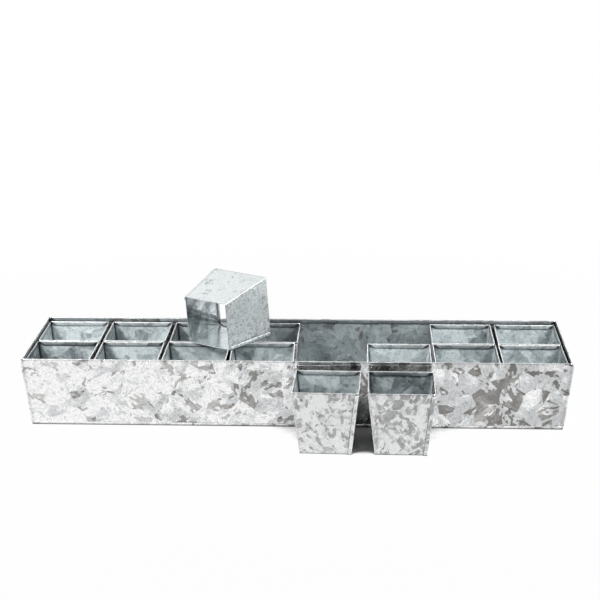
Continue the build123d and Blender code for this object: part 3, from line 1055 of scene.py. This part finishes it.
# Tarnish of each pot, and at the two edges of the sheets that differ from their pot. On the lying pot
# the mark is painted light and shade: the front sheet is painted lighter all over, and the rear sheet
# runs from painted light on the wall that it lies on to painted shade on the next wall
POT_TARNISH = {
    "back_1": -0.2, "back_2": 0.25, "back_3": 0.9, "back_4": 0.8, "back_7": 0.4, "back_8": 0.3,
    "front_1": 1.0, "front_2": 0.5, "front_3": 0.5, "front_4": 0.5, "front_6": 0.1,
    "front_7": 0.55, "front_8": 0.4, "standing_left": 0.6, "standing_right": 1.1,
}
SHEET_TARNISH_AND_SHADE = {
    "pot_lying_front_sheet": (-0.4, -0.1), "pot_lying_rear_sheet": (-1.0, 1.7),
    "pot_standing_left_rear_sheet": (0.3, 0.3),
}
for pot_name, place in pot_places.items():
    lying = pot_name == "lying"
    skins = lying_pot_materials if lying else pot_materials
    # Painted shade: the inside of the lying pot's plain bends is painted dark
    bend_shade = 1.0 if lying else 0.0
    for sheet_name, half_turn in (("front", 0), ("rear", pi)):
        node = f"pot_{pot_name}_{sheet_name}_sheet"
        tarnish_and_shade = SHEET_TARNISH_AND_SHADE.get(node) or (POT_TARNISH[pot_name], POT_TARNISH[pot_name])
        sheet = BentSheet(POT, node, [LEFT, FRONT], "wrap", "hook", tarnish_and_shade, bend_shade)
        turned = place @ Matrix.Rotation(half_turn, 4, "Z")
        add_sheet(node, f"pot_{pot_name}", POT.sheet, sheet.surface(), turned, skins)

# Trough
for node, facing, edge, tarnish_and_shade in (
    # The front wall gets darker and more patched towards its right end
    ("trough_front_wall", FRONT, "wrap", (0, 1.2)),
    ("trough_back_wall", BACK, "wrap", (1, 0)),
    ("trough_left_end", LEFT, "hook", (0, 0)),
    ("trough_right_end", RIGHT, "hook", (1, 1)),
):
    wall = BentSheet(TROUGH, node, [facing], edge, edge, tarnish_and_shade)
    add_sheet(node, "trough", TROUGH.sheet, wall.surface(), Matrix(), trough_materials)
add_sheet(
    "trough_base", "trough", FLOOR_SHEET, base_surface(), Matrix(), base_materials
)

# Camera
CAMERA_PLACE = (0.095, -2.080, 0.792)
CAMERA_YAW = radians(-2.53)
CAMERA_PITCH = radians(16.92)
CAMERA_ROLL = radians(-0.32)
CAMERA_LENS = 91.8
CAMERA_SENSOR = 36.0
scene = bpy.context.scene
right = Vector((cos(CAMERA_YAW), -sin(CAMERA_YAW), 0))
onward = Vector((sin(CAMERA_YAW), cos(CAMERA_YAW), 0))
ahead = onward * cos(CAMERA_PITCH) - UP * sin(CAMERA_PITCH)
above = right.cross(ahead)
across = right * cos(CAMERA_ROLL) + above * sin(CAMERA_ROLL)
upward = above * cos(CAMERA_ROLL) - right * sin(CAMERA_ROLL)
camera_data = bpy.data.cameras.new("camera")
camera_data.sensor_width = CAMERA_SENSOR
camera_data.lens = CAMERA_LENS
camera = bpy.data.objects.new("camera", camera_data)
camera_turn = Matrix((across, upward, -ahead)).transposed().to_4x4()
camera.matrix_world = Matrix.Translation(CAMERA_PLACE) @ camera_turn
scene.collection.objects.link(camera)
scene.camera = camera

# Floor and light, in metres
FLOOR_HALF = 20.0
FLOOR_GREY = (0.35, 0.35, 0.35)
FLOOR_GLOW = 0.985
FLOOR_GLOW_FADE = (0.5, 1.1)
SHADOW_REACH = 0.08
SHADOW_LIMITS = (0.33, 0.38)
SHADOW_SAMPLES = 32
WORLD_LIGHT = 0.05
CEILING_LIGHT = 0.3
CEILING_FADE = (sin(radians(40)), sin(radians(75)))
scene.view_settings.view_transform = "Standard"


def seen_rays(g):
    """1 for rays from the camera, from reflections and through glass, else 0."""
    rays = g.add("ShaderNodeLightPath").outputs
    seen = g.math("MAXIMUM", rays["Is Camera Ray"], rays["Is Glossy Ray"])
    return g.math("MAXIMUM", seen, rays["Is Transmission Ray"])


def floor_material():
    """White floor to the eye and a grey one to the light, with dark shadows in the narrow gaps."""
    g = Graph(bpy.data.materials.new("floor"))
    shader = g.nodes["Principled BSDF"]
    shader.inputs["Base Color"].default_value = (*FLOOR_GREY, 1.0)
    shader.inputs["Roughness"].default_value = 1.0
    shader.inputs["Specular IOR Level"].default_value = 0.0
    glow = g.add("ShaderNodeEmission", {"Color": (*PLAIN_WHITE, 1.0), "Strength": 1.0})
    place = g.add("ShaderNodeTexCoord").outputs["Object"]
    away = g.add("ShaderNodeVectorMath", {0: place}, operation="LENGTH").outputs["Value"]
    share = g.rescale(away, FLOOR_GLOW_FADE, FLOOR_GLOW, 1.0, "SMOOTHSTEP")
    in_the_open = g.rescale(g.openness(SHADOW_REACH, SHADOW_SAMPLES), SHADOW_LIMITS, curve="SMOOTHSTEP")
    share = g.math("MULTIPLY", seen_rays(g), g.math("MULTIPLY", share, in_the_open))
    blend = g.add("ShaderNodeMixShader", {0: share, 1: shader.outputs[0], 2: glow.outputs[0]})
    g.set(g.nodes["Material Output"].inputs[0], blend.outputs[0])
    return g.owner


floor_mesh = bpy.data.meshes.new("floor")
floor_corners = [(x * FLOOR_HALF, y * FLOOR_HALF, 0) for x, y in ((-1, -1), (1, -1), (1, 1), (-1, 1))]
floor_mesh.from_pydata(floor_corners, [], [(0, 1, 2, 3)])
floor_mesh.materials.append(floor_material())
floor = bpy.data.objects.new("floor", floor_mesh)
scene.collection.objects.link(floor)

studio = Graph(bpy.data.worlds.new("studio"))
scene.world = studio.owner
lit = studio.math("MULTIPLY_ADD", seen_rays(studio), 1 - WORLD_LIGHT, WORLD_LIGHT)
direction = studio.add("ShaderNodeTexCoord").outputs["Generated"]
height = studio.add("ShaderNodeSeparateXYZ", {0: direction}).outputs["Z"]
ceiling = studio.rescale(height, CEILING_FADE, 1.0, CEILING_LIGHT, "SMOOTHSTEP")
background = studio.nodes["Background"]
background.inputs["Color"].default_value = (*PLAIN_WHITE, 1.0)
studio.set(background.inputs["Strength"], studio.math("MULTIPLY", lit, ceiling))


def area_light(name, place, aim, size, spread, power):
    """Soft square lamp that points at a place, with its light kept within an angle."""
    data = bpy.data.lights.new(name, "AREA")
    data.size = size
    data.spread = radians(spread)
    data.energy = power
    lamp = bpy.data.objects.new(name, data)
    lamp.location = place
    lamp.rotation_euler = (Vector(aim) - Vector(place)).to_track_quat("-Z", "Y").to_euler()
    scene.collection.objects.link(lamp)


area_light("left_lamp", (-0.95, -0.70, 1.0), aim=(-0.30, 0, 0.08), size=0.35, spread=50, power=2.4)
area_light("right_lamp", (1.10, -0.45, 1.0), aim=(0.34, 0, 0.08), size=0.35, spread=50, power=2.3)
area_light("right_low_lamp", (1.9, -0.22, 0.55), aim=(0, 0, 0.05), size=1.0, spread=120, power=4.6)
